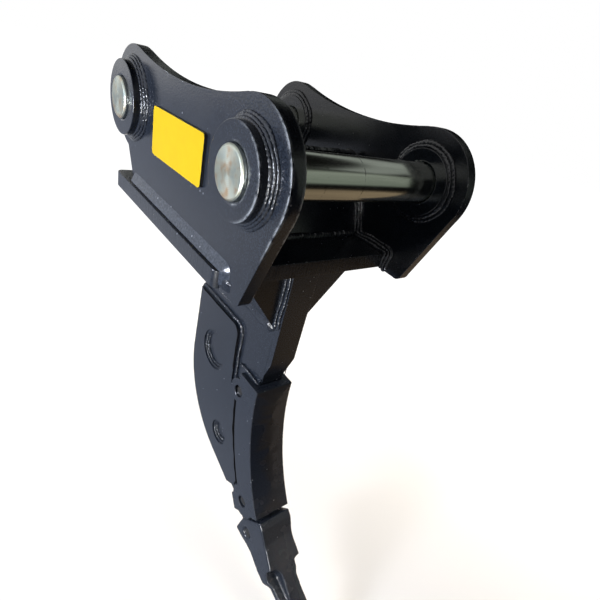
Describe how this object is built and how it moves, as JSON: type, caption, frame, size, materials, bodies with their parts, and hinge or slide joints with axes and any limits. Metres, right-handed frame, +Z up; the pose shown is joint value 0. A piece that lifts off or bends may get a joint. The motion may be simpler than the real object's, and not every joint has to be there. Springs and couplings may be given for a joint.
{
  "type": "excavator rock ripper",
  "caption": "Pin-on excavator rock ripper: a two-ear hanger on a base plate carries a curved plate shank with cheek plates, a cast shank protector and a pinned tooth tip.",
  "frame": {"origin": "On the arm pin's axis, half way between the two ears", "axes": "+X to the digging side, +Y along the pins towards the right ear, +Z up"},
  "size_m": [0.8687, 0.51, 1.2442],
  "materials": {
    "charcoal_paint": "semi-gloss over plate and weld",
    "casting_paint": "semi-gloss over a cast skin",
    "pin_steel": "turned and zinc plated",
    "retainer_steel": "dull",
    "yellow_paint": "satin"
  },
  "bodies": {
    "root": {"left_ear": "charcoal_paint", "right_ear": "charcoal_paint", "left_arm_boss": "charcoal_paint", "right_arm_boss": "charcoal_paint", "left_link_boss": "charcoal_paint", "right_link_boss": "charcoal_paint", "arm_pin": "pin_steel", "link_pin": "pin_steel", "base_plate": "charcoal_paint", "front_cross_plate": "charcoal_paint", "rear_cross_plate": "charcoal_paint", "boss_welds": "charcoal_paint", "inner_boss_welds": "charcoal_paint", "left_brace": "charcoal_paint", "right_brace": "charcoal_paint", "front_gussets": "charcoal_paint", "rear_gussets": "charcoal_paint", "brace_welds": "charcoal_paint", "shank": "charcoal_paint", "left_cheek_plate": "charcoal_paint", "right_cheek_plate": "charcoal_paint", "shank_protector": "casting_paint", "protector_pins": "retainer_steel", "tooth_tip": "casting_paint", "tip_pin": "retainer_steel", "name_plate": "yellow_paint"}
  },
  "joints": []
}
